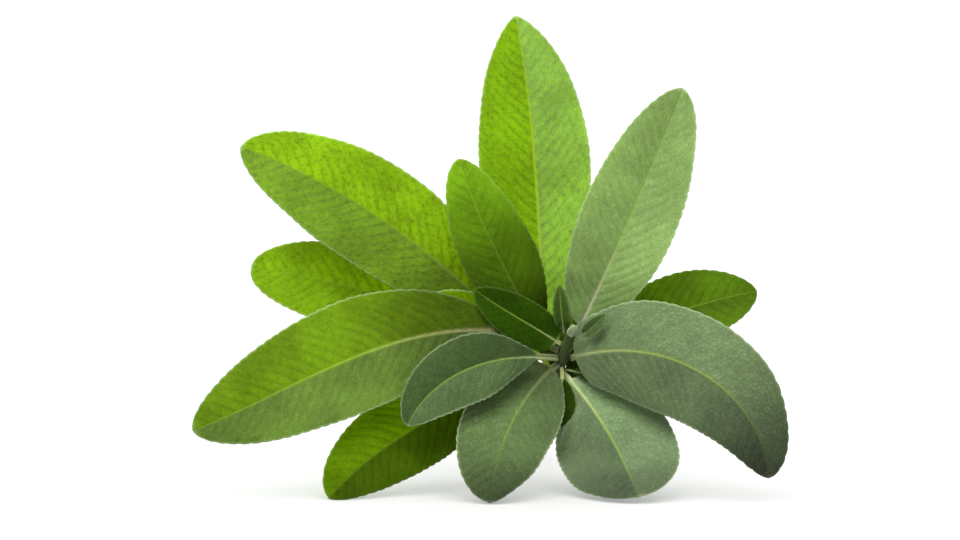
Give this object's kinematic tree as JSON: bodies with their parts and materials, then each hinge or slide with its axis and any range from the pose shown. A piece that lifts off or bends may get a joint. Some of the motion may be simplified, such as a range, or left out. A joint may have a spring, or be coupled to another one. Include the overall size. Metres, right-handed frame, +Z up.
{
  "type": "sage sprig",
  "caption": "Cut sprig of common sage lying on a surface, with long oval grey-green leaves around its growing tip.",
  "frame": {"origin": "on the resting surface, under the middle of the sprig's outline", "axes": "+Z up, -Y the side that the growing tip faces, +X to the right seen from there; the stem runs back towards +Y"},
  "size_m": [0.1262, 0.0871, 0.1033],
  "materials": {
    "stem": "soft green stem with short pale hairs",
    "young_leaf": "young leaf, soft and finely hairy",
    "leaf_lit": "matt pebbled leaf, yellow-green, lets light through",
    "leaf_grey": "matt pebbled leaf, grey-green with fine pale hairs"
  },
  "bodies": {
    "root": {"stem": "stem", "bud": "young_leaf", "tip_leaf_a": "young_leaf", "axil_leaf_a": "young_leaf", "axil_leaf_b": "young_leaf", "axil_leaf_c": "young_leaf", "axil_leaf_d": "young_leaf", "tip_leaf_b": "young_leaf", "young_leaf_left": "young_leaf", "young_leaf_right": "young_leaf", "young_leaf_below": "young_leaf", "small_leaf_left": "leaf_lit", "leaf_top": "leaf_lit", "leaf_upper_centre": "leaf_lit", "leaf_upper_left": "leaf_lit", "leaf_left_back": "leaf_lit", "leaf_left": "leaf_lit", "leaf_right_back": "leaf_lit", "leaf_lower_left": "leaf_lit", "leaf_upper_right": "leaf_grey", "leaf_left_small": "leaf_grey", "leaf_front_left": "leaf_grey", "leaf_front_right": "leaf_grey", "leaf_right": "leaf_grey"}
  },
  "joints": []
}
